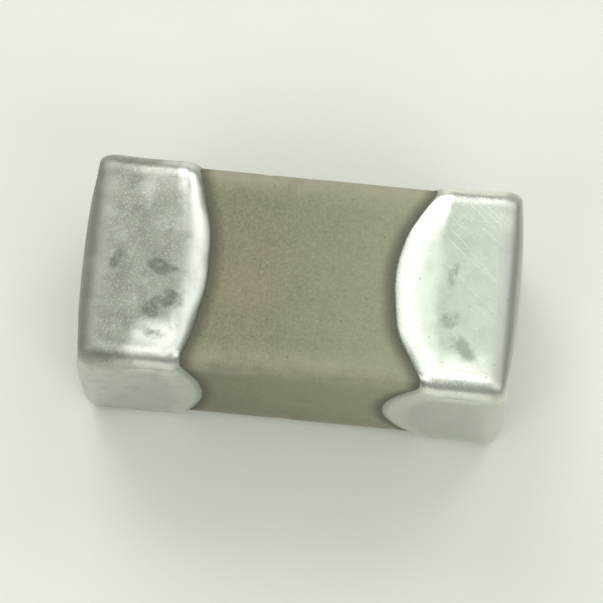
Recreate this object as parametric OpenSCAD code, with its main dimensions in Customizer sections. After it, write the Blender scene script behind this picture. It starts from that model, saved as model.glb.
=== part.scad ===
// Surface-mount multilayer ceramic chip capacitor, size 1608 metric (0603 inch).
// The origin is the centre of the chip. The terminations lie along X, and the board is below, along -Z.
// All sizes are in millimetres.

/* [Chip] */
// Length over both terminations
chip_length = 1.6; // [1.5:0.05:1.7]
// Width over the terminations
chip_width = 0.8; // [0.7:0.05:0.9]
// Height over the terminations
chip_height = 0.8; // [0.7:0.05:0.9]
// Radius of the terminations' outer edges and corners
chip_edge_radius = 0.09; // [0.07:0.01:0.1]

/* [Ceramic] */
// Radius that tumbling leaves on the edges of the fired ceramic
ceramic_edge_radius = 0.05; // [0.04:0.01:0.07]

/* [Terminations] */
// Reach of the left band along the middle of a side face
left_band = 0.46; // [0.3:0.01:0.5]
// Reach of the right band along the middle of a side face
right_band = 0.45; // [0.3:0.01:0.5]
// Bow of the left band's edge: how much further it reaches at the middle of a face than at its sides
left_band_bow = 0.1; // [0.02:0.01:0.24]
// Bow of the right band's edge
right_band_bow = 0.2; // [0.02:0.01:0.24]
// Height of the dome on each end face
end_dome = 0.02; // [0.01:0.005:0.03]

/* [Termination layers] */
// Thickness of the fired copper at the middle of an end face
copper_on_end = 0.04; // [0.04:0.005:0.06]
// Thickness of the fired copper on the side faces
copper_on_side = 0.016; // [0.014:0.001:0.025]
// Thickness of the nickel barrier
nickel_thickness = 0.004; // [0.002:0.001:0.006]
// Thickness of the tin plating
tin_thickness = 0.008; // [0.004:0.001:0.01]

/* [Electrodes] */
// Number of inner electrodes, which lead to the left and right end in turn
electrode_count = 24; // [8:2:40]
// Thickness of one electrode
electrode_thickness = 0.002; // [0.001:0.001:0.004]
// Ceramic left at each side of the electrodes
electrode_side_margin = 0.1; // [0.08:0.01:0.15]
// Ceramic left between an electrode's free end and the end face it doesn't reach
electrode_end_margin = 0.16; // [0.1:0.01:0.25]
// Radius of the corners at an electrode's free end
electrode_corner_radius = 0.03; // [0.02:0.01:0.06]
// Plain ceramic above and below the stack of electrodes
cover_thickness = 0.1; // [0.08:0.01:0.2]

/* [Hidden] */
$fn = 64;
LEFT = -1;
RIGHT = 1;

plating = nickel_thickness + tin_thickness;
ceramic_length = chip_length - 2 * (copper_on_end + plating);
ceramic_width = chip_width - 2 * (copper_on_side + plating);
ceramic_height = chip_height - 2 * (copper_on_side + plating);

electrode_length = ceramic_length - electrode_end_margin;
electrode_width = ceramic_width - 2 * electrode_side_margin;
stack_height = ceramic_height - 2 * cover_thickness;
electrode_pitch = (stack_height - electrode_thickness) / (electrode_count - 1);
// How far a tool shape runs past the faces that it cuts or that trim it
overrun = 0.02;

function band(side) = side == LEFT ? left_band : right_band;
function band_bow(side) = side == LEFT ? left_band_bow : right_band_bow;
// Radius of an arc that rises by rise over a chord that reaches half_chord to each side of its middle
function arc_radius(half_chord, rise) = (half_chord * half_chord + rise * rise) / (2 * rise);

function electrode_side(i) = i % 2 == 1 ? LEFT : RIGHT;
function side_name(side) = side == LEFT ? "left" : "right";
function electrode_name(i) = str(side_name(electrode_side(i)), "_electrode_", ceil(i / 2));
function electrode_bottom(i) = (i - 1) * electrode_pitch - stack_height / 2;

// A rectangle centred on the origin, with its corners rounded.
module rounded_rectangle(size, radius) {
    square([size.x - 2 * radius, size.y], center = true);
    square([size.x, size.y - 2 * radius], center = true);
    for (x = [-1, 1], y = [-1, 1])
        translate([x * (size.x / 2 - radius), y * (size.y / 2 - radius)])
            circle(r = radius);
}

// A bar with a rounded section, which runs past both ends of the block that it rounds.
module rounded_bar(section, radius, length) {
    linear_extrude(length + 2 * overrun, center = true) rounded_rectangle(section, radius);
}

// A block centred on the origin, with its edges and corners rounded. Each bar rounds the four edges
// along it, and the sphere takes off the tips that the three bars leave at the corners.
module rounded_block(size, radius) {
    intersection() {
        rotate([90, 0, 90]) rounded_bar([size.y, size.z], radius, size.x);
        rotate([90, 0, 0]) rounded_bar([size.x, size.z], radius, size.y);
        rounded_bar([size.x, size.y], radius, size.z);
        sphere(r = norm([for (s = size) s / 2 - radius]) + radius);
    }
}

// The fired ceramic before the electrodes' slots are cut.
module ceramic_block() {
    rounded_block([ceramic_length, ceramic_width, ceramic_height], ceramic_edge_radius);
}

// The space inside a surface that lies inset below a termination's finished surface.
// The band ends on a sphere about a point on the X axis, which bows its edge on all four side faces.
// A second sphere domes the end face.
module termination_envelope(side, inset) {
    edge_arc = arc_radius(chip_width / 2, band_bow(side));
    band_sphere = norm([edge_arc, chip_height / 2]);
    dome_sphere = arc_radius(chip_width / 2, end_dome);
    intersection() {
        rounded_block([for (s = [chip_length, chip_width, chip_height]) s - 2 * inset],
                      chip_edge_radius - inset);
        translate([side * (chip_length / 2 - band(side) + edge_arc), 0, 0])
            sphere(r = band_sphere - inset);
        translate([side * (chip_length / 2 - dome_sphere), 0, 0])
            rotate([0, 90, 0]) sphere(r = dome_sphere - inset);
    }
}

// The fired copper cup over one end of the ceramic. The electrodes of its side meet it at the end face.
module copper_termination(side) {
    color("peru") difference() {
        termination_envelope(side, plating);
        ceramic_block();
    }
}

// The nickel barrier over the copper, which wraps the copper's edge down to the ceramic.
module nickel_barrier(side) {
    color("darkgray") difference() {
        termination_envelope(side, tin_thickness);
        termination_envelope(side, plating);
        ceramic_block();
    }
}

// The tin plating over the nickel, the surface that is soldered.
module tin_plating(side) {
    color("gainsboro") difference() {
        termination_envelope(side, 0);
        termination_envelope(side, tin_thickness);
        ceramic_block();
    }
}

// Electrode number i, counted from the bottom. Its led-out end is flush with the end face,
// or runs past it where a slot is to be cut, and its free end has rounded corners.
module electrode(i, past_end = 0) {
    free_end = ceramic_length / 2 - electrode_length;
    mirror([electrode_side(i) == LEFT ? 1 : 0, 0, 0])
        translate([0, 0, electrode_bottom(i)])
            linear_extrude(electrode_thickness) {
                translate([free_end + electrode_corner_radius, -electrode_width / 2])
                    square([electrode_length - electrode_corner_radius + past_end, electrode_width]);
                translate([free_end, electrode_corner_radius - electrode_width / 2])
                    square([electrode_corner_radius, electrode_width - 2 * electrode_corner_radius]);
                for (y = [-1, 1])
                    translate([free_end + electrode_corner_radius,
                               y * (electrode_width / 2 - electrode_corner_radius)])
                        circle(r = electrode_corner_radius);
            }
}

// The ceramic, fired as one piece around its electrodes.
module ceramic_body() {
    color("#98967d") difference() {
        ceramic_block();
        for (i = [1 : electrode_count]) electrode(i, past_end = overrun);
    }
}

ceramic_body();
copper_termination(LEFT);  // left_copper_termination
copper_termination(RIGHT);  // right_copper_termination
nickel_barrier(LEFT);  // left_nickel_barrier
nickel_barrier(RIGHT);  // right_nickel_barrier
tin_plating(LEFT);  // left_tin_plating
tin_plating(RIGHT);  // right_tin_plating
for (i = [1 : electrode_count])
    color("slategray") electrode(i);
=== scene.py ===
# %% [markdown]
# # A surface-mount ceramic capacitor, seen through a macro lens
#
# The real part is 1.6 mm long: a fired ceramic block with a plated metal cap over each end. The packed
# CAD model gives the exact frame, and this lesson dresses it. Each step says what the piece is on the
# real part, how it could be made in Blender, and why this way was chosen.

import math

import bmesh
import bpy
from mathutils import Matrix, Vector, noise


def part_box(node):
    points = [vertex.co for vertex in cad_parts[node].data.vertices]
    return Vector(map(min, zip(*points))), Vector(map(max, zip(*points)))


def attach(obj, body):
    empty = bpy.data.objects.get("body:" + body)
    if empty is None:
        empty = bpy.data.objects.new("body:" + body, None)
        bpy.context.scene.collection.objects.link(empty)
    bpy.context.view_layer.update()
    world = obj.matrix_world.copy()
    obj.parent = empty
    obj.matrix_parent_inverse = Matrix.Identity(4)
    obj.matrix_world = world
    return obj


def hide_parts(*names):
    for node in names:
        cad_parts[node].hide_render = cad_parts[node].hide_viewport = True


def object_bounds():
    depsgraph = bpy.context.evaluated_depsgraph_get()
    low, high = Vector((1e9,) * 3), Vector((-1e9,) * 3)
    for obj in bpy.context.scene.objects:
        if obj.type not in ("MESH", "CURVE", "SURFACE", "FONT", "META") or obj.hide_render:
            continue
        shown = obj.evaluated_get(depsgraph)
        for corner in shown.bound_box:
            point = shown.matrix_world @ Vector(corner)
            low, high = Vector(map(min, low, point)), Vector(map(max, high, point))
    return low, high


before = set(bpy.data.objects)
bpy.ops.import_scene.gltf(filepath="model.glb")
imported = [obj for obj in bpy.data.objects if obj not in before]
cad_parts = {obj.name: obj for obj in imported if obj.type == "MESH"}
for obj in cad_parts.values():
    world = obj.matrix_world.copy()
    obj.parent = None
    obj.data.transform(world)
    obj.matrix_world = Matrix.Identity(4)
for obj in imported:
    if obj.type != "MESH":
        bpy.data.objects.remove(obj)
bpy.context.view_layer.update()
scene = bpy.context.scene

# %% [markdown]
# ## Sizes
#
# Every size that the frame knows is read from it, so the new pieces fit without being moved. The part is
# so small that the shaping is done in millimetres, and each mesh is scaled to metres when it is finished.
# Only the radii and the bow of the bands' edges are written again here, because a box doesn't tell them.

# %% The chip's sizes in millimetres
MM = 1000.0


def corners_mm(node):
    low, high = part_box(node)
    return low * MM, high * MM


left_box, right_box = corners_mm("left_tin_plating"), corners_mm("right_tin_plating")
chip_half = right_box[1].copy()
ceramic_half = corners_mm("ceramic_body")[1]
nickel_half = corners_mm("right_nickel_barrier")[1]
copper_half = corners_mm("right_copper_termination")[1]

tin_depth = chip_half.x - nickel_half.x
under_nickel = chip_half.x - copper_half.x

chip_edge_radius = 0.09
ceramic_edge_radius = 0.05
end_dome = 0.02

# Side: the direction along X. Rim: how far from the chip's middle the cap's edge starts. Bow: how much
# further the edge reaches at the middle of a face. Crest: where the metal's bead is highest. Roll: how
# soon the bead eases off towards its crest, where 1 is a straight slope.
ENDS = {
    "left": {"side": -1, "rim": -left_box[1].x, "bow": 0.10, "crest": 0.435, "roll": 1.8},
    "right": {"side": 1, "rim": right_box[0].x, "bow": 0.20, "crest": 0.515, "roll": 1.35},
}
print("chip half size", chip_half, "ceramic half size", ceramic_half)
print("tin", round(tin_depth, 4), "tin and nickel", round(under_nickel, 4))

# %% [markdown]
# ## One way to make every surface
#
# The ceramic and all the layers over it are rounded blocks. In Blender a rounded block could be a cube
# with a Bevel modifier and a Subdivision Surface, but that shrinks it, and the layers would no longer
# match. Here the cube is bevelled in bmesh, where the corners come out as true quarter balls, and the
# flat faces get an even grid, so that there is something to shape later.

# %% A rounded block with a grid on its faces
EDGE_STEPS = 8


def smoothstep(low, high, value):
    t = min(1.0, max(0.0, (value - low) / (high - low)))
    return t * t * (3.0 - 2.0 * t)


def rounded_block(half, radius):
    bm = bmesh.new()
    bmesh.ops.create_cube(bm, size=2.0, matrix=Matrix.Diagonal((*half, 1.0)))
    bmesh.ops.bevel(
        bm, geom=bm.edges[:], offset=radius, offset_type="OFFSET", segments=EDGE_STEPS,
        profile=0.5, affect="EDGES", material=-1,
    )
    return bm


def lay_grid(bm, axis, cuts):
    """Cuts every edge that runs along one axis, which draws rings round the block."""
    along = [
        e for e in bm.edges
        if abs((e.verts[1].co - e.verts[0].co).normalized()[axis]) > 0.99999
    ]
    bmesh.ops.subdivide_edges(bm, edges=along, cuts=cuts, use_grid_fill=True)


# %% Turning a finished bmesh into a piece of the part
def sort_by_place(elements, place):
    """Cutting may hand points and faces back in another order in each run. Sorted, they always agree."""
    ranks = {e: rank for rank, e in enumerate(sorted(elements, key=lambda e: tuple(place(e))))}
    elements.sort(key=ranks.get)
    elements.index_update()


def make_piece(name, bm, replaced):
    """Scales the mesh to metres, gives it to a new object under the root and hides the CAD parts that it
    replaces.
    """
    sort_by_place(bm.verts, lambda v: v.co)
    sort_by_place(bm.faces, lambda f: f.calc_center_median())
    bmesh.ops.scale(bm, vec=(1.0 / MM,) * 3, verts=bm.verts)
    for face in bm.faces:
        face.smooth = True
    mesh = bpy.data.meshes.new(name)
    bm.to_mesh(mesh)
    bm.free()
    piece = bpy.data.objects.new(name, mesh)
    scene.collection.objects.link(piece)
    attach(piece, "root")
    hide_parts(*replaced)
    print(name, "has", sum(len(p.vertices) - 2 for p in mesh.polygons), "triangles")
    return piece


# %% [markdown]
# ## The metal caps
#
# Each end of the chip is dipped in copper paste, dried and fired, and then plated with nickel and tin.
# The paste pulls itself into a rounded bead behind its edge, sags a little behind the bead and follows
# the ceramic's corners. The plating copies that shape.
#
# A cap is the end of a rounded block, cut open where the band stops. All its layers are built with the
# same operators in the same order, so point number n of one layer lies right under point n of the next.
# The finished surface is then a blend between the ceramic and the full-height surface.

# %% An open cup with a grid, always with the same points
CUP_GRID = (34, 56, 56)
CUP_OPENING = 0.5 * chip_half.x


def cup_skin(inset):
    """The right-hand cup at a depth below the finished surface, or on the ceramic's own surface for None.

    The second result is where the flat sides end and the rounded end begins.
    """
    if inset is None:
        half, radius = ceramic_half, ceramic_edge_radius
    else:
        half, radius = chip_half - Vector((inset,) * 3), chip_edge_radius - inset
    bm = rounded_block(half, radius)
    bmesh.ops.bisect_plane(
        bm, geom=bm.verts[:] + bm.edges[:] + bm.faces[:], dist=1e-6,
        plane_co=(CUP_OPENING, 0, 0), plane_no=(1, 0, 0), clear_inner=True,
    )
    for axis in range(3):
        lay_grid(bm, axis, CUP_GRID[axis])
    return bm, half.x - radius


# %% The curve of the band's edge, and the dome of the end face
RIM_WANDER = 0.006
DOME_BLEND = 0.004


def rim_place(end, inset, y, z):
    """Where the layer's edge lies on the ceramic: on a ball about a point of the X axis."""
    arc = (chip_half.y ** 2 + end["bow"] ** 2) / (2 * end["bow"])
    ball = math.hypot(arc, chip_half.z)
    centre = end["rim"] + math.sqrt(ball ** 2 - ceramic_half.z ** 2)
    wander = RIM_WANDER * noise.noise(Vector((9.0 * y + 3.0 * end["side"], 9.0 * z, 5.0)))
    return centre - math.sqrt((ball - inset) ** 2 - y * y - z * z) + wander


def domed(x, y, z, inset):
    """Pulls the end face in towards its sides, as a shallow ball would."""
    ball = (chip_half.y ** 2 + end_dome ** 2) / (2 * end_dome)
    limit = chip_half.x - ball + math.sqrt((ball - inset) ** 2 - y * y - z * z)
    if limit > x + DOME_BLEND:
        return x
    if limit < x - DOME_BLEND:
        return limit
    t = (x - limit + DOME_BLEND) / (2 * DOME_BLEND)
    return x - DOME_BLEND * t * t


for name, end in ENDS.items():
    print(name, "band reaches to x =", round(rim_place(end, 0.0, 0.0, ceramic_half.z), 4), "mm on the top")

# %% [markdown]
# Handling leaves small scuffs in the soft tin, and the wet paste slumps towards one edge before it dries.
# Noise alone would put both anywhere, so each has its place in a short list, and noise only makes its
# outline ragged. The mesh keeps both as masks, and the finish reads them later.

# %% Scuffs and slumps on the top face
# Left is -1 and right is 1. A scuff: x and y of its middle, half its length and half its width, and its
# turn in degrees.
SCUFFS = {
    -1: [
        (-0.502, -0.025, 0.070, 0.036, -20),
        (-0.502, -0.162, 0.085, 0.042, 40),
        (-0.436, -0.145, 0.040, 0.032, 75),
        (-0.662, -0.015, 0.050, 0.026, 70),
    ],
    1: [
        (0.545, -0.114, 0.044, 0.038, 20),
        (0.602, -0.218, 0.080, 0.038, -40),
        (0.545, 0.040, 0.080, 0.018, 85),
    ],
}
# A slump: x and y of its middle, its reach in x and in y, and its depth as a share of the cap's thickness.
SLUMPS = {-1: (-0.49, -0.34, 0.17, 0.19, 0.45), 1: (0.60, -0.36, 0.24, 0.15, 0.40)}


def scuffed(side, place):
    """0 on clean metal, 1 in the middle of a scuff."""
    if place.z < 0.8 * chip_half.z:
        return 0.0
    total = 0.0
    ragged = 0.016 * noise.noise(place * 26.0)
    for x, y, half_length, half_width, degrees in SCUFFS[side]:
        dx, dy, turn = place.x - x, place.y - y, math.radians(degrees)
        along = dx * math.cos(turn) + dy * math.sin(turn) + ragged
        across = dy * math.cos(turn) - dx * math.sin(turn) + ragged
        total += 1.0 - smoothstep(0.1, 1.2, math.hypot(along / half_length, across / half_width))
    return min(1.0, total)


def slumped(side, place):
    """0 outside the slump, 1 in its middle."""
    x, y, reach_x, reach_y, _ = SLUMPS[side]
    if place.z < 0.7 * chip_half.z:
        return 0.0
    return 1.0 - smoothstep(0.0, 1.0, math.hypot((place.x - x) / reach_x, (place.y - y) / reach_y))


print("scuffs:", {side: len(marks) for side, marks in SCUFFS.items()})

# %% [markdown]
# The height of the paste is what makes the caps look real. It climbs steeply from its edge, runs over
# into a bead, and dips a little behind it. Along the block's edges it is thinner. Broad unevenness breaks
# up the reflections. All of it stays below the CAD surface, so the chip keeps its size.

# %% How full the metal is at each place
# All of these are shares of the cap's thickness.
EDGE_STEP = 0.14
SAG_BEHIND_BEAD = 0.07
BROAD_UNEVENNESS = 0.11
SMALL_UNEVENNESS = 0.02
THIN_ALONG_EDGES = 0.20
SCUFF_DENT = 0.025
# The slope up to the crest: its least width in millimetres, and the share by which the width wanders.
NARROWEST_SLOPE, SLOPE_WANDER = 0.050, 0.20
# How wide the round foot at the rim is, in millimetres.
FOOT = 0.008


def fullness(end, x, y, z, rim, to_corner):
    """0 on the ceramic and 1 on the CAD surface, and then how much is scuff and how much is slump."""
    side = end["side"]
    place = Vector((side * x, y, z))
    behind_rim = x - rim
    wide = 1.0 + SLOPE_WANDER * noise.noise(place * 5.0 + Vector((2.0, 7.0, side)))
    wide *= max(NARROWEST_SLOPE, end["crest"] - rim)
    t = min(1.0, max(0.0, behind_rim / wide))
    foot = min(1.0, max(0.0, behind_rim / FOOT))
    slope = 1.0 - (1.0 - t) ** end["roll"]
    bead = EDGE_STEP * math.sqrt(1.0 - (1.0 - foot) ** 2) + (1.0 - EDGE_STEP) * slope
    sag = smoothstep(wide - 0.03, wide + 0.07, behind_rim) * smoothstep(0.0, 0.12, to_corner)
    uneven = 0.5 + 0.5 * noise.noise(place * 5.5 + Vector((0.0, 4.0, 3.0 * side)))
    small = 0.5 + 0.5 * noise.noise(place * 20.0 + Vector((8.0, 0.0, side)))
    to_long_edge = chip_half.y - chip_edge_radius - min(abs(y), abs(z))
    thin = (1.0 - smoothstep(-0.01, 0.10, to_long_edge)) * (0.4 + 0.6 * uneven)
    slump = slumped(side, place)
    scuff = scuffed(side, place) * smoothstep(0.02, 0.06, behind_rim)
    lost = SAG_BEHIND_BEAD * sag + BROAD_UNEVENNESS * uneven + SMALL_UNEVENNESS * small
    lost += THIN_ALONG_EDGES * thin + SLUMPS[side][4] * slump + SCUFF_DENT * scuff
    return bead * (1.0 - lost), scuff, slump


# %% Shaping one layer of a cap
# The rim is sunk into the ceramic by a share of the thickness, so that no gap shows under it. The face on
# the ceramic starts a little further in than the metal's other surfaces. The rows of points crowd towards
# the rim, where the bead turns fastest.
SINK = 0.05
COPPER_EDGE = 0.004
CROWDING = 1.4


def layer_skin(end, inset):
    """One surface of a cap as a bmesh. inset None gives the face that lies on the ceramic."""
    flat = inset is None
    bm, joint = cup_skin(inset)
    under, under_joint = cup_skin(None)
    depth = under_nickel + COPPER_EDGE if flat else inset
    distance = bm.verts.layers.float.new("behind_rim")
    scuff = bm.verts.layers.float.new("scuffed")
    slump = bm.verts.layers.float.new("slumped")
    for v, c in zip(bm.verts, under.verts):
        top, base = v.co.copy(), c.co.copy()
        rim = rim_place(end, depth, base.y, base.z)
        for p, corner in ((top, joint), (base, under_joint)):
            if p.x < corner:
                t = (p.x - CUP_OPENING) / (corner - CUP_OPENING)
                p.x = rim + (corner - rim) * t ** CROWDING
            elif p is top and not flat:
                p.x = domed(p.x, p.y, p.z, depth)
        behind_rim = top.x - rim
        if flat:
            v.co = base
        else:
            full, v[scuff], v[slump] = fullness(end, top.x, top.y, top.z, rim, joint - top.x)
            if top.x > joint:
                on_end = smoothstep(joint, chip_half.x, top.x)
                full = full * (1.0 - on_end) + on_end * (1.0 - 0.5 * (1.0 - full))
            v.co = base + (top - base) * (full * (1.0 + SINK) - SINK)
        v[distance] = behind_rim
    under.free()
    return bm


# %% [markdown]
# Two surfaces make a layer: the outer one and the one under it, turned inside out and joined to it round
# the rim. Solidify would give an even wall too, but it knows nothing of the layer below, and these walls
# have to meet face to face.

# %% Joining two surfaces into one closed layer
def open_rim(bm):
    return [e for e in bm.edges if e.is_boundary]


def closed_layer(name, end, outer_inset, inner_inset, replaced):
    outer, inner = layer_skin(end, outer_inset), layer_skin(end, inner_inset)
    bmesh.ops.reverse_faces(inner, faces=inner.faces[:])
    scratch = bpy.data.meshes.new(name + "_inside")
    inner.to_mesh(scratch)
    inner.free()
    outer.from_mesh(scratch)
    bpy.data.meshes.remove(scratch)
    bmesh.ops.bridge_loops(outer, edges=open_rim(outer))
    if end["side"] < 0:
        bmesh.ops.scale(outer, vec=(-1, 1, 1), verts=outer.verts)
        bmesh.ops.reverse_faces(outer, faces=outer.faces[:])
    print(name, "open edges:", len(open_rim(outer)), "volume mm3:", round(outer.calc_volume(signed=True), 5))
    return make_piece(name, outer, replaced)


caps = {}
for name, end in ENDS.items():
    caps[name, "tin"] = closed_layer(
        f"{name}_tin_cap", end, 0.0, tin_depth, [f"{name}_tin_plating"])
    caps[name, "nickel"] = closed_layer(
        f"{name}_nickel_layer", end, tin_depth, under_nickel, [f"{name}_nickel_barrier"])
    caps[name, "copper"] = closed_layer(
        f"{name}_copper_layer", end, under_nickel, None, [f"{name}_copper_termination"])

# %% [markdown]
# ## The ceramic block
#
# The block is cut from a stack of thin sheets, tumbled until its edges are round, and fired. Its faces
# stay a little wavy, and the tumbling leaves tiny chips along the edges. It is the same rounded block
# again, with a finer grid and a little of its surface taken away.

# %% The fired block, slightly worn
CERAMIC_GRID = (110, 50, 50)
# The most that each kind of wear takes off.
WAVE, CHIPPING, PIT = 0.0012, 0.006, 0.0015


def near_edge(co):
    """1 on an edge of the block, 0 a little more than one and a half radii away from it."""
    gap = sorted(h - abs(c) for h, c in zip(ceramic_half, co))[1]
    return 1.0 - smoothstep(0.0, 1.6 * ceramic_edge_radius, gap)


block = rounded_block(ceramic_half, ceramic_edge_radius)
for axis in range(3):
    lay_grid(block, axis, CERAMIC_GRID[axis])
block.normal_update()
# The distance to each cap's rim, which places the painted shade beside the caps.
rim_distance_for_shade = block.verts.layers.float.new("beside_cap")
moves = []
for v in block.verts:
    wave = 0.5 + 0.5 * noise.noise(v.co * 5.0 + Vector((4.0, 1.0, 0.0)))
    chip = smoothstep(0.30, 0.60, noise.noise(v.co * 17.0 + Vector((0.0, 6.0, 2.0)))) * near_edge(v.co)
    pit = smoothstep(0.45, 0.70, noise.noise(v.co * 40.0))
    moves.append(v.normal * -(WAVE * wave + CHIPPING * chip + PIT * pit))
    end = ENDS["left" if v.co.x < 0 else "right"]
    v[rim_distance_for_shade] = rim_place(end, 0.0, v.co.y, v.co.z) - abs(v.co.x)
for v, move in zip(block.verts, moves):
    v.co += move
print("ceramic block:", len(block.faces), "faces, volume mm3:", round(block.calc_volume(), 4))

# %% [markdown]
# The electrodes are films printed between the sheets, so each one lies in a slot of its own. The CAD
# electrodes stay as they are. Copies of them, led out a little past the end faces, cut their own slots
# with an exact Boolean, and the fit is then right by construction.

# %% Cutting the electrodes' slots
electrodes = {n: o for n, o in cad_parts.items() if "_electrode_" in n}
# How far a cutter runs past the end face, so that the slot comes out open.
LED_OUT = 0.02


def slot_cutter():
    """Copies of all the electrodes in one mesh, in millimetres."""
    bm = bmesh.new()
    for name, node in sorted(electrodes.items()):
        one = bmesh.new()
        one.from_mesh(node.data)
        bmesh.ops.remove_doubles(one, verts=one.verts, dist=1e-9)
        side = -1 if name.startswith("left") else 1
        outer_end = [v for v in one.verts if side * v.co.x * MM > ceramic_half.x - 1e-4]
        bmesh.ops.translate(one, verts=outer_end, vec=(side * LED_OUT / MM, 0, 0))
        scratch = bpy.data.meshes.new("one_slot")
        one.to_mesh(scratch)
        one.free()
        bm.from_mesh(scratch)
        bpy.data.meshes.remove(scratch)
    bmesh.ops.scale(bm, vec=(MM,) * 3, verts=bm.verts)
    mesh = bpy.data.meshes.new("slot_cutter")
    bm.to_mesh(mesh)
    bm.free()
    return mesh


def cut_slots(bm):
    """Returns the block as a bmesh, in millimetres, with the slots taken out."""
    mesh = bpy.data.meshes.new("uncut_block")
    bm.to_mesh(mesh)
    bm.free()
    body, cutter = (bpy.data.objects.new(m.name, m) for m in (mesh, slot_cutter()))
    for o in (body, cutter):
        scene.collection.objects.link(o)
    boolean = body.modifiers.new("slots", "BOOLEAN")
    boolean.operation, boolean.solver, boolean.object = "DIFFERENCE", "EXACT", cutter
    cut = bmesh.new()
    cut.from_object(body, bpy.context.evaluated_depsgraph_get())
    for o in (body, cutter):
        data = o.data
        bpy.data.objects.remove(o)
        bpy.data.meshes.remove(data)
    return cut


whole_volume = block.calc_volume()
block = cut_slots(block)
print("slots take", round(whole_volume - block.calc_volume(), 5), "mm3 in", len(electrodes), "places;",
      "open edges:", len(open_rim(block)))
ceramic = make_piece("fired_ceramic_block", block, ["ceramic_body"])
ceramic.data.set_sharp_from_angle(angle=math.radians(50))

# %% [markdown]
# ## Shared effects for the finishes
#
# Every surface here is an industrial one: clouds of slightly different tone, a fine grain, specks and
# hairline scratches. Each effect is a node group, built once, which puts out a mask or a height. The
# materials place it with their own values. Object coordinates are turned to millimetres first, so that
# a scale of 100 means grains of a hundredth of a millimetre.

# %% Small helpers for node trees
def add(tree, kind, **settings):
    node = tree.nodes.new(kind)
    for key, value in settings.items():
        setattr(node, key, value)
    return node


def give(tree, socket, value):
    """A number or a colour is typed into the socket, and another socket is linked to it."""
    if isinstance(value, (int, float, tuple)):
        socket.default_value = value
    else:
        tree.links.new(value, socket)


def calculate(tree, operation, *values):
    """A Math node."""
    node = add(tree, "ShaderNodeMath", operation=operation)
    for socket, value in zip(node.inputs, values):
        give(tree, socket, value)
    return node.outputs[0]


def soft_step(tree, value, low, high):
    """0 up to low and 1 from high on. Where low is the greater, it falls from 1 to 0 instead."""
    node = add(tree, "ShaderNodeMapRange", interpolation_type="SMOOTHSTEP")
    for label, v in (("Value", value), ("From Min", low), ("From Max", high)):
        give(tree, node.inputs[label], v)
    return node.outputs["Result"]


def new_group(name, inputs, outputs):
    tree = bpy.data.node_groups.new(name, "ShaderNodeTree")
    for label, kind, value in inputs:
        socket = tree.interface.new_socket(name=label, in_out="INPUT", socket_type=kind)
        if value is not None:
            socket.default_value = value
    for label in outputs:
        tree.interface.new_socket(name=label, in_out="OUTPUT", socket_type="NodeSocketFloat")
    return tree, add(tree, "NodeGroupInput").outputs, add(tree, "NodeGroupOutput").inputs


# %% Clouds: broad patches with soft borders
clouds, given, result = new_group(
    "clouds",
    [("Vector", "NodeSocketVector", None), ("Scale", "NodeSocketFloat", 5.0),
     ("Low", "NodeSocketFloat", 0.4), ("High", "NodeSocketFloat", 0.6)],
    ["Mask"],
)
field = add(clouds, "ShaderNodeTexNoise", noise_dimensions="3D")
field.inputs["Detail"].default_value = 3.0
field.inputs["Roughness"].default_value = 0.55
clouds.links.new(given["Vector"], field.inputs["Vector"])
clouds.links.new(given["Scale"], field.inputs["Scale"])
clouds.links.new(soft_step(clouds, field.outputs["Fac"], given["Low"], given["High"]), result["Mask"])
print("made", clouds.name)

# %% Grain: the fine crystals of a fired or plated surface
grain, given, result = new_group(
    "grain",
    [("Vector", "NodeSocketVector", None), ("Scale", "NodeSocketFloat", 100.0)],
    ["Height"],
)
fine = add(grain, "ShaderNodeTexNoise", noise_dimensions="3D")
fine.inputs["Detail"].default_value = 2.0
fine.inputs["Roughness"].default_value = 0.6
crystals = add(grain, "ShaderNodeTexVoronoi", feature="F1")
for node in (fine, crystals):
    grain.links.new(given["Vector"], node.inputs["Vector"])
    grain.links.new(given["Scale"], node.inputs["Scale"])
facets = calculate(grain, "MULTIPLY", crystals.outputs["Distance"], 0.6)
grain.links.new(calculate(grain, "ADD", fine.outputs["Fac"], facets), result["Height"])
print("made", grain.name)

# %% Specks: small round spots, only in some of the cells
specks, given, result = new_group(
    "specks",
    [("Vector", "NodeSocketVector", None), ("Scale", "NodeSocketFloat", 20.0),
     ("Size", "NodeSocketFloat", 0.2), ("Share", "NodeSocketFloat", 0.2)],
    ["Mask"],
)
cells = add(specks, "ShaderNodeTexVoronoi", feature="F1")
specks.links.new(given["Vector"], cells.inputs["Vector"])
specks.links.new(given["Scale"], cells.inputs["Scale"])
draw = add(specks, "ShaderNodeSeparateColor")
specks.links.new(cells.outputs["Color"], draw.inputs["Color"])
chosen = calculate(specks, "LESS_THAN", draw.outputs["Red"], given["Share"])
reach = calculate(specks, "MULTIPLY", given["Size"], calculate(specks, "ADD", draw.outputs["Green"], 0.4))
inside = soft_step(specks, calculate(specks, "DIVIDE", cells.outputs["Distance"], reach), 1.0, 0.6)
specks.links.new(calculate(specks, "MULTIPLY", inside, chosen), result["Mask"])
print("made", specks.name)

# %% Hairlines: thin scratches, made from noise that is stretched one way
hairlines, given, result = new_group(
    "hairlines",
    [("Vector", "NodeSocketVector", None), ("Scale", "NodeSocketFloat", 10.0),
     ("Turn", "NodeSocketFloat", 0.5), ("Share", "NodeSocketFloat", 0.5)],
    ["Mask"],
)
turn = add(hairlines, "ShaderNodeVectorRotate", rotation_type="Z_AXIS")
hairlines.links.new(given["Vector"], turn.inputs["Vector"])
hairlines.links.new(given["Turn"], turn.inputs["Angle"])
stretch = add(hairlines, "ShaderNodeVectorMath", operation="MULTIPLY")
stretch.inputs[1].default_value = (0.12, 3.0, 1.0)
hairlines.links.new(turn.outputs["Vector"], stretch.inputs[0])
lines = add(hairlines, "ShaderNodeTexNoise", noise_dimensions="3D")
lines.inputs["Detail"].default_value = 1.0
hairlines.links.new(stretch.outputs["Vector"], lines.inputs["Vector"])
hairlines.links.new(given["Scale"], lines.inputs["Scale"])
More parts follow.
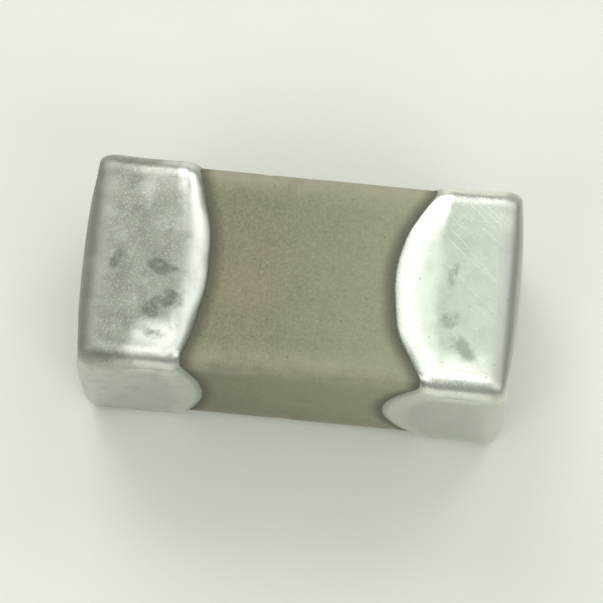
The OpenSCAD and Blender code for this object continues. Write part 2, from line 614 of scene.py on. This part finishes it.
off_line = calculate(hairlines, "ABSOLUTE", calculate(hairlines, "SUBTRACT", lines.outputs["Fac"], 0.5))
thin = soft_step(hairlines, off_line, 0.012, 0.0)
place = add(hairlines, "ShaderNodeTexNoise", noise_dimensions="3D")
place.inputs["Scale"].default_value = 4.0
hairlines.links.new(given["Vector"], place.inputs["Vector"])
some = calculate(hairlines, "LESS_THAN", place.outputs["Fac"], given["Share"])
hairlines.links.new(calculate(hairlines, "MULTIPLY", thin, some), result["Mask"])
print("made", hairlines.name)

# %% Edge wear: how near a place is to an edge of a block
edge_wear, given, result = new_group(
    "edge_wear",
    [("Vector", "NodeSocketVector", None), ("Half size", "NodeSocketVector", None),
     ("Width", "NodeSocketFloat", 0.05)],
    ["Mask"],
)
folded = add(edge_wear, "ShaderNodeVectorMath", operation="ABSOLUTE")
edge_wear.links.new(given["Vector"], folded.inputs[0])
gaps = add(edge_wear, "ShaderNodeVectorMath", operation="SUBTRACT")
edge_wear.links.new(given["Half size"], gaps.inputs[0])
edge_wear.links.new(folded.outputs["Vector"], gaps.inputs[1])
gap = add(edge_wear, "ShaderNodeSeparateXYZ")
edge_wear.links.new(gaps.outputs["Vector"], gap.inputs["Vector"])
gx, gy, gz = (gap.outputs[a] for a in "XYZ")
middle = calculate(edge_wear, "MAXIMUM", calculate(edge_wear, "MINIMUM", gx, gy),
                   calculate(edge_wear, "MINIMUM", calculate(edge_wear, "MAXIMUM", gx, gy), gz))
edge_wear.links.new(soft_step(edge_wear, middle, given["Width"], 0.0), result["Mask"])
print("made", edge_wear.name)


# %% A helper that starts a material and places the groups in it
class Finish:
    """One material: its tree, its shader, and the place on the surface in millimetres."""

    def __init__(self, name):
        self.material = bpy.data.materials.new(name)
        self.material.use_nodes = True
        self.tree = self.material.node_tree
        self.tree.nodes.clear()
        self.shader = add(self.tree, "ShaderNodeBsdfPrincipled")
        output = add(self.tree, "ShaderNodeOutputMaterial")
        self.tree.links.new(self.shader.outputs["BSDF"], output.inputs["Surface"])
        place = add(self.tree, "ShaderNodeTexCoord")
        scale = add(self.tree, "ShaderNodeMapping", vector_type="POINT")
        scale.inputs["Scale"].default_value = (MM,) * 3
        self.tree.links.new(place.outputs["Object"], scale.inputs["Vector"])
        self.place = scale.outputs["Vector"]

    def effect(self, group, **values):
        node = add(self.tree, "ShaderNodeGroup", node_tree=group)
        self.tree.links.new(self.place, node.inputs["Vector"])
        for label, value in values.items():
            node.inputs[label.replace("_", " ")].default_value = value
        return node.outputs[0]

    def attribute(self, name):
        return add(self.tree, "ShaderNodeAttribute", attribute_name=name).outputs["Fac"]

    def axes(self):
        """The place's X, Y and Z as sockets."""
        node = add(self.tree, "ShaderNodeSeparateXYZ")
        self.tree.links.new(self.place, node.inputs["Vector"])
        return node.outputs

    def step(self, value, low, high):
        return soft_step(self.tree, value, low, high)

    def blend(self, amount, first, second, how="MIX"):
        """Mixes two colours. A colour may be four numbers or a socket."""
        node = add(self.tree, "ShaderNodeMix", data_type="RGBA", blend_type=how, clamp_factor=True)
        sockets = node.inputs["Factor"], node.inputs[6], node.inputs[7]
        for socket, value in zip(sockets, (amount, first, second)):
            give(self.tree, socket, value)
        return node.outputs[2]

    def tint(self, tone, mask, share, colour, how="MIX"):
        """Lays a colour over a tone where the mask is, up to a share of it."""
        return self.blend(self.calculate("MULTIPLY", mask, share), tone, colour, how=how)

    def calculate(self, *values):
        return calculate(self.tree, *values)

    def relief(self, *layers):
        """Stacks Bump nodes. Each layer is (height, distance in millimetres, strength)."""
        normal = None
        for height, distance, strength in layers:
            node = add(self.tree, "ShaderNodeBump")
            node.inputs["Distance"].default_value = distance / MM
            node.inputs["Strength"].default_value = strength
            self.tree.links.new(height, node.inputs["Height"])
            if normal is not None:
                self.tree.links.new(normal, node.inputs["Normal"])
            normal = node.outputs["Normal"]
        self.tree.links.new(normal, self.shader.inputs["Normal"])

    def feed(self, socket, value):
        self.tree.links.new(value, self.shader.inputs[socket])

    def put_on(self, *pieces):
        for piece in pieces:
            if piece.material_slots:
                for s in piece.material_slots:
                    s.material = self.material
            else:
                piece.data.materials.append(self.material)
        print(self.material.name, "is on", len(pieces), "pieces")


# %% [markdown]
# ## The finish of the ceramic
#
# Fired barium titanate is a dull olive grey, a little warmer in places, with pinhole pores and a grain like
# an eggshell. The tumbled edges are lighter and slightly pink, partly from wear and partly as a painted
# highlight. A thin dark line of painted shade runs on the ceramic beside each cap. The sheets that it was
# pressed from show as faint lines on the two sides. A flat colour with a noise bump would look like plastic,
# so each of those traces gets its own mask.

# %% Fired ceramic: the broad tones
# From the left end to the right one, with a warmer patch on the top face, towards the left cap.
CERAMIC_LEFT, CERAMIC_RIGHT = (0.208, 0.197, 0.117, 1.0), (0.305, 0.305, 0.198, 1.0)
CERAMIC_WARM, CERAMIC_CLOUD = (0.272, 0.232, 0.148, 1.0), (0.88, 0.89, 0.87, 1.0)

fired = Finish("fired_ceramic")
tone = fired.blend(fired.step(fired.axes()["X"], -0.35, 0.40), CERAMIC_LEFT, CERAMIC_RIGHT)
shaded = fired.effect(clouds, Scale=5.0, Low=0.38, High=0.62)
tone = fired.tint(tone, shaded, 0.6, CERAMIC_CLOUD, how="MULTIPLY")

centre = add(fired.tree, "ShaderNodeMapping", vector_type="TEXTURE")
centre.inputs["Location"].default_value = (-0.18, -0.03, ceramic_half.z)
centre.inputs["Scale"].default_value = (0.22, 0.34, 0.20)
fired.tree.links.new(fired.place, centre.inputs["Vector"])
patch = add(fired.tree, "ShaderNodeTexGradient", gradient_type="SPHERICAL")
fired.tree.links.new(centre.outputs["Vector"], patch.inputs["Vector"])
warm = fired.calculate("MULTIPLY", fired.step(patch.outputs["Fac"], 0.0, 0.9),
                       fired.effect(clouds, Scale=8.0, Low=0.20, High=0.60))
tone = fired.tint(tone, warm, 0.80, CERAMIC_WARM)

# %% Fired ceramic: grain, worn edges with a painted highlight, painted shade beside the caps, and spots
GRAIN_LIGHT, GRAIN_DARK = (0.42, 0.41, 0.30, 1.0), (0.20, 0.195, 0.125, 1.0)
WORN_AND_LIT_EDGE, PAINTED_SHADE_BESIDE_CAP = (0.40, 0.37, 0.28, 1.0), (0.090, 0.090, 0.056, 1.0)
DARK_SPOT, PALE_SPOT = (0.12, 0.115, 0.08, 1.0), (0.55, 0.54, 0.43, 1.0)

fine_grain = fired.effect(grain, Scale=95.0)
tone = fired.tint(tone, fired.step(fine_grain, 0.55, 1.05), 0.30, GRAIN_LIGHT)
tone = fired.tint(tone, fired.effect(clouds, Scale=48.0, Low=0.42, High=0.70), 0.22, GRAIN_DARK)
# Worn edges: lighter partly from wear and partly as a painted highlight on the rounded edges.
wear_and_highlight = fired.effect(edge_wear, Half_size=tuple(ceramic_half), Width=0.13)
patchy = fired.calculate("MULTIPLY_ADD", fired.effect(clouds, Scale=14.0, Low=0.30, High=0.62), 0.45, 0.35)
tone = fired.tint(tone, wear_and_highlight, patchy, WORN_AND_LIT_EDGE)
dark_spots = fired.effect(specks, Scale=46.0, Size=0.20, Share=0.16)
pale_spots = fired.effect(specks, Scale=55.0, Size=0.20, Share=0.12)
tone = fired.tint(tone, dark_spots, 0.35, DARK_SPOT)
tone = fired.tint(tone, pale_spots, 0.35, PALE_SPOT)
# Painted shade: a thin dark line on the ceramic right beside each cap, where the caps meet the block.
tone = fired.tint(tone, fired.step(fired.attribute("beside_cap"), 0.060, 0.004), 0.85, PAINTED_SHADE_BESIDE_CAP)
fired.feed("Base Color", tone)
fired.feed("Roughness", fired.calculate("MULTIPLY_ADD", fine_grain, 0.14, 0.48))

# %% Fired ceramic: the relief
# The sheets are bands of equal height. They draw lines on the sides only, because the whole top has one
# height, and so has the underside.
sheets = add(fired.tree, "ShaderNodeTexWave", wave_type="BANDS", bands_direction="Z", wave_profile="SIN")
sheets.inputs["Scale"].default_value = 13.5
sheets.inputs["Distortion"].default_value = 1.2
sheets.inputs["Detail"].default_value = 2.0
fired.tree.links.new(fired.place, sheets.inputs["Vector"])
fired.relief(
    (fired.effect(clouds, Scale=22.0, Low=0.2, High=0.8), 0.0016, 1.0),
    (sheets.outputs["Fac"], 0.0004, 1.0),
    (fine_grain, 0.0011, 1.0),
    (fired.calculate("SUBTRACT", 1.0, dark_spots), 0.0012, 1.0),
)
fired.put_on(ceramic)

# %% [markdown]
# ## The finish of the tin
#
# Matte tin is a soft, pale grey metal made of crystals a few thousandths of a millimetre across. What stands
# out is rubbed clean and a little smoother, and its brighter tone is partly a painted highlight: the bead
# behind the edge, the block's edges here and there, and the slump. What lies lower stays dull and keeps
# scuffs and pores. The mesh already carries the distance behind the rim and the places of the scuffs and
# slumps, so the finish follows the shape.

# %% Where the tin is rubbed clean, with a painted highlight
def rubbed_and_highlit(tin, on_broad, rub_reach, patchiness):
    """The bead, the block's edges up to rub_reach from the rim, and the slump."""
    behind_rim = tin.attribute("behind_rim")
    on_bead = tin.step(behind_rim, 0.115, 0.060)
    on_edge = tin.calculate("MULTIPLY", tin.effect(edge_wear, Half_size=tuple(chip_half), Width=0.17),
                            tin.effect(clouds, Scale=6.5, Low=patchiness, High=patchiness + 0.22))
    on_edge = tin.calculate("MULTIPLY", on_edge, tin.step(behind_rim, rub_reach, 0.5 * rub_reach))
    on_slump = tin.calculate("MULTIPLY", tin.step(tin.attribute("slumped"), 0.08, 0.50),
                             tin.effect(clouds, Scale=12.0, Low=0.26, High=0.52))
    rubbed_and_lit = tin.calculate("MAXIMUM", tin.calculate("MAXIMUM", on_bead, on_edge), on_slump)
    return tin.calculate("MULTIPLY", rubbed_and_lit, tin.calculate("MULTIPLY_ADD", on_broad, 0.55, 0.45))


# %% [markdown]
# The broad faces, which lie on other things, get a tone of their own and are more rubbed than the ends and
# the sides, which look as plated. The outer edges of the broad faces get painted shade, and they are
# rougher, as if scraped in handling. Towards its own rim the plating thins out, and painted shade darkens it
# there. The two caps are lit and shaded copies of one tin, the left one darkened with painted shade, so one
# function makes both finishes from a few values.

# %% Matte tin
PLATED, TARNISHED = (0.56, 0.59, 0.53, 1.0), (0.25, 0.265, 0.235, 1.0)
GLINT, PORE = (0.95, 0.95, 0.92, 1.0), (0.18, 0.185, 0.17, 1.0)
SCUFFED, PAINTED_EDGE_SHADE = (0.55, 0.57, 0.56, 1.0), (0.36, 0.375, 0.34, 1.0)
PAINTED_RIM_SHADE = (0.45, 0.46, 0.42, 1.0)


def matte_tin(name, clean_and_lit, dull_and_shade, blotch_share, rough_level, rub_reach, patchiness):
    """patchiness is how much of the edges keeps the plain tone, without the painted highlight."""
    tin = Finish(name)
    axes = tin.axes()
    from_end, up = (tin.calculate("ABSOLUTE", axes[a]) for a in "XZ")
    on_broad = tin.step(up, chip_half.z - 0.12, chip_half.z - 0.03)
    # The rubbed places get a brighter tone, which is partly a painted highlight.
    rubbed_and_lit = rubbed_and_highlit(tin, on_broad, rub_reach, patchiness)
    # On the left cap, the broad faces' darker tone is painted shade.
    tone = tin.blend(rubbed_and_lit, tin.blend(on_broad, PLATED, dull_and_shade), clean_and_lit)

    share = tin.calculate("MULTIPLY_ADD", on_broad, 0.70 * blotch_share, 0.30 * blotch_share)
    share = tin.calculate("MULTIPLY", share, tin.calculate("MULTIPLY_ADD", rubbed_and_lit, -0.75, 1.0))
    tone = tin.tint(tone, tin.effect(clouds, Scale=15.0, Low=0.44, High=0.66), share, TARNISHED)
    bright = tin.effect(clouds, Scale=10.0, Low=0.50, High=0.80)
    tone = tin.tint(tone, bright, tin.calculate("MULTIPLY", share, 0.55), clean_and_lit)

    crystal = tin.effect(grain, Scale=170.0)
    # Painted glints: the brightest crystals get a pale tone.
    tone = tin.tint(tone, tin.step(crystal, 0.80, 1.20), 0.30, GLINT)
    tone = tin.tint(tone, tin.effect(specks, Scale=38.0, Size=0.20, Share=0.14), 0.30, PORE)
    scuffs = tin.calculate("MULTIPLY", tin.step(tin.attribute("scuffed"), 0.02, 0.70),
                           tin.effect(clouds, Scale=26.0, Low=0.24, High=0.56))
    tone = tin.blend(scuffs, tone, SCUFFED, how="MULTIPLY")
    # Painted shade on the outer top edges of each cap; the same mask also makes them rougher.
    scraped_and_shaded = tin.calculate("MULTIPLY", tin.step(from_end, chip_half.x - 0.120, chip_half.x - 0.070),
                            tin.step(up, chip_half.z - 0.100, chip_half.z - 0.020))
    tone = tin.tint(tone, scraped_and_shaded, 0.65, PAINTED_EDGE_SHADE)
    # Painted shade: the tin is darkened close to its rim, where it meets the ceramic.
    on_rim = tin.step(tin.attribute("behind_rim"), 0.034, 0.002)
    tin.feed("Base Color", tin.tint(tone, on_rim, 0.80, PAINTED_RIM_SHADE, how="MULTIPLY"))
    tin.shader.inputs["Metallic"].default_value = 1.0

    rough = tin.calculate("MULTIPLY_ADD", crystal, 0.07, rough_level)
    for mask, change in ((rubbed_and_lit, -0.06), (scraped_and_shaded, 0.14), (scuffs, 0.12)):
        rough = tin.calculate("MULTIPLY_ADD", mask, change, rough)
    tin.feed("Roughness", rough)
    tin.relief(
        (tin.effect(clouds, Scale=30.0, Low=0.2, High=0.8), 0.00032, 1.0),
        (crystal, 0.00020, 1.0),
        (tin.effect(hairlines, Scale=9.0, Turn=0.7, Share=0.5), 0.00012, 1.0),
    )
    return tin


# %% Lit and shaded copies of one tin: the left cap darkened with painted shade, the right one brighter
left_tin = matte_tin(
    "left_matte_tin", clean_and_lit=(0.78, 0.81, 0.74, 1.0), dull_and_shade=(0.345, 0.368, 0.308, 1.0),
    blotch_share=0.70, rough_level=0.33, rub_reach=0.28, patchiness=0.40,
)
left_tin.put_on(caps["left", "tin"])
right_tin = matte_tin(
    "right_matte_tin", clean_and_lit=(0.85, 0.88, 0.80, 1.0), dull_and_shade=(0.70, 0.768, 0.650, 1.0),
    blotch_share=0.13, rough_level=0.27, rub_reach=0.90, patchiness=0.22,
)
right_tin.put_on(caps["right", "tin"])

# %% [markdown]
# ## The finishes under the tin
#
# Nothing shows of the nickel, the copper and the electrodes in a whole chip, but a reader may hide the
# tin to see them. The nickel is a thin bright plating, the copper is sintered from powder and keeps its
# pores, and the electrodes are dull fired films with small gaps.

# %% Nickel, copper and the electrode films
def under_tin(name, first, second, cloud_scale, rough_scale, rough_change, rough_level, relief):
    """A metal of two tones in clouds. The relief is the grain's scale and height."""
    metal = Finish(name)
    tone = metal.blend(metal.effect(clouds, Scale=cloud_scale, Low=0.35, High=0.65), first, second)
    metal.shader.inputs["Metallic"].default_value = 1.0
    rough = metal.effect(grain, Scale=rough_scale)
    metal.feed("Roughness", metal.calculate("MULTIPLY_ADD", rough, rough_change, rough_level))
    metal.relief((metal.effect(grain, Scale=relief[0]), relief[1], 1.0))
    return metal, tone


nickel, tone = under_tin("nickel_plating", (0.50, 0.47, 0.42, 1.0), (0.60, 0.57, 0.51, 1.0),
                         11.0, 180.0, 0.10, 0.22, (120.0, 0.0005))
nickel.feed("Base Color", tone)
nickel.put_on(caps["left", "nickel"], caps["right", "nickel"])

copper, tone = under_tin("fired_copper", (0.72, 0.36, 0.24, 1.0), (0.58, 0.27, 0.18, 1.0),
                         9.0, 110.0, 0.12, 0.38, (85.0, 0.0016))
pores = copper.effect(specks, Scale=60.0, Size=0.35, Share=0.35)
copper.feed("Base Color", copper.tint(tone, pores, 0.7, (0.14, 0.06, 0.04, 1.0)))
copper.put_on(caps["left", "copper"], caps["right", "copper"])

film, tone = under_tin("electrode_film", (0.33, 0.32, 0.30, 1.0), (0.42, 0.41, 0.38, 1.0),
                       12.0, 140.0, 0.15, 0.42, (120.0, 0.0006))
breaks = film.effect(specks, Scale=70.0, Size=0.30, Share=0.30)
film.feed("Base Color", film.tint(tone, breaks, 0.8, (0.10, 0.10, 0.09, 1.0)))
film.put_on(*electrodes.values())

# %% [markdown]
# ## The table
#
# The part lies on a plain pale surface. A plane much larger than the part fills every view from above,
# and it takes the part's soft shadow.

# %% A pale table under the part
low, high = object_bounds()
table_mesh = bmesh.new()
bmesh.ops.create_grid(table_mesh, x_segments=4, y_segments=4, size=0.15)
bmesh.ops.translate(table_mesh, verts=table_mesh.verts, vec=(0, 0, low.z))
mesh = bpy.data.meshes.new("table")
table_mesh.to_mesh(mesh)
table_mesh.free()
table = bpy.data.objects.new("table", mesh)
scene.collection.objects.link(table)

pale = Finish("pale_table")
pale.feed("Base Color", pale.blend(pale.effect(clouds, Scale=1.2, Low=0.3, High=0.7),
                                   (0.86, 0.872, 0.81, 1.0), (0.87, 0.88, 0.825, 1.0)))
pale.shader.inputs["Roughness"].default_value = 0.85
pale.put_on(table)

# %% [markdown]
# ## Light
#
# Metal shows what stands around it, so the light is laid out by what each surface mirrors. Seen from above,
# the flat tops mirror the ceiling, which is a soft pale grey that darkens towards the horizon and draws
# the edges. Strips beside the ceiling are mirrored by what slopes: the left one makes the right cap's bead
# white, the right one lights the left cap's, and the near one the tops' near borders. The other boxes stand
# on the diagonals, where no straight edge mirrors them. They light the ceramic and the table, and the
# largest gives the shadow.

# %% Soft boxes round the part
BOX_DISTANCE = 0.30
# Azimuth and elevation in degrees, then the size across in X and along in Y, and the radiance. Where that
# is 1, a lamp looks white.
SOFT_BOXES = {
    "left_strip": (230, 67, 0.080, 0.22, 1.00),
    "right_strip": (114, 58, 0.080, 0.20, 0.95),
    "near_strip": (0, 80, 0.20, 0.12, 1.1),
    "key_box": (205, 38, 0.18, 0.18, 2.6),
    "far_box": (150, 46, 0.13, 0.12, 2.5),
    "fill_box": (42, 48, 0.14, 0.12, 2.3),
    "low_box": (318, 48, 0.14, 0.12, 1.6),
}


def direction(azimuth, elevation):
    """From the part outwards. Azimuth 0 is the near side, and 90 the right one."""
    a, e = math.radians(azimuth), math.radians(elevation)
    return Vector((math.sin(a) * math.cos(e), -math.cos(a) * math.cos(e), math.sin(e)))


def soft_box(name, azimuth, elevation, across, along, radiance):
    """An area lamp that looks at the part."""
    lamp = bpy.data.lights.new(name, "AREA")
    lamp.shape, lamp.size, lamp.size_y = "RECTANGLE", across, along
    lamp.energy = radiance * math.pi * across * along
    o = bpy.data.objects.new(name, lamp)
    scene.collection.objects.link(o)
    towards = direction(azimuth, elevation)
    sideways = Vector((0, 1, 0)).cross(towards).normalized()
    o.location = towards * BOX_DISTANCE
    o.rotation_euler = Matrix((sideways, towards.cross(sideways), towards)).transposed().to_euler()


for name, values in SOFT_BOXES.items():
    soft_box(name, *values)
print("soft boxes:", ", ".join(SOFT_BOXES))

# %% [markdown]
# The world is the room. The ceiling brightens overhead. A pale backdrop stands at the horizon, but only for
# rays from the camera and for reflections, so it shows behind the part and in its metal without lighting it.

# %% The room
CEILING_LOW, CEILING_HIGH = (0.30, 0.315, 0.29, 1.0), (0.50, 0.54, 0.49, 1.0)
BACKDROP = (0.86, 0.88, 0.82, 1.0)

world = bpy.data.worlds.new("studio")
world.use_nodes = True
scene.world = world
room = world.node_tree
room.nodes.clear()
up = add(room, "ShaderNodeSeparateXYZ")
room.links.new(add(room, "ShaderNodeTexCoord").outputs["Generated"], up.inputs["Vector"])
rays = add(room, "ShaderNodeLightPath").outputs
seen = calculate(room, "MAXIMUM", rays["Is Camera Ray"], rays["Is Glossy Ray"])
seen = calculate(room, "MAXIMUM", seen, rays["Is Transmission Ray"])
at_horizon = calculate(room, "MULTIPLY", soft_step(room, up.outputs["Z"], 0.16, 0.04), seen)
ceiling, behind = (add(room, "ShaderNodeMix", data_type="RGBA") for _ in range(2))
for mix, values in (
    (ceiling, (soft_step(room, up.outputs["Z"], 0.72, 0.97), CEILING_LOW, CEILING_HIGH)),
    (behind, (at_horizon, ceiling.outputs[2], BACKDROP)),
):
    for socket, value in zip((mix.inputs["Factor"], mix.inputs[6], mix.inputs[7]), values):
        give(room, socket, value)
surface = add(room, "ShaderNodeBackground")
room.links.new(behind.outputs[2], surface.inputs["Color"])
room.links.new(surface.outputs["Background"], add(room, "ShaderNodeOutputWorld").inputs["Surface"])
print("made the room:", world.name)

# %% [markdown]
# ## Camera
#
# The picture is taken from almost straight above, 75 degrees over the table and turned a few degrees to
# the right, through a long lens that keeps the long edges parallel.

# %% The camera
LENS, SENSOR = 200.0, 36.0
SHARE_OF_VIEW = 0.72


def look_from(azimuth, elevation, width_of_view):
    data = bpy.data.cameras.new("macro_camera")
    data.lens, data.sensor_width = LENS, SENSOR
    back = direction(azimuth, elevation)
    away = width_of_view / 2 / (SENSOR / 2 / LENS)
    data.clip_start, data.clip_end = away * 0.02, 10.0
    camera = bpy.data.objects.new("macro_camera", data)
    scene.collection.objects.link(camera)
    camera.location = (low + high) / 2 + back * away
    camera.rotation_mode = "QUATERNION"
    camera.rotation_quaternion = (-back).to_track_quat("-Z", "Y")
    scene.camera = camera
    print("camera at", round(away * MM, 2), "mm from the part")


look_from(5.7, 75.0, width_of_view=(high.x - low.x) / SHARE_OF_VIEW)
scene.view_settings.view_transform = "Standard"
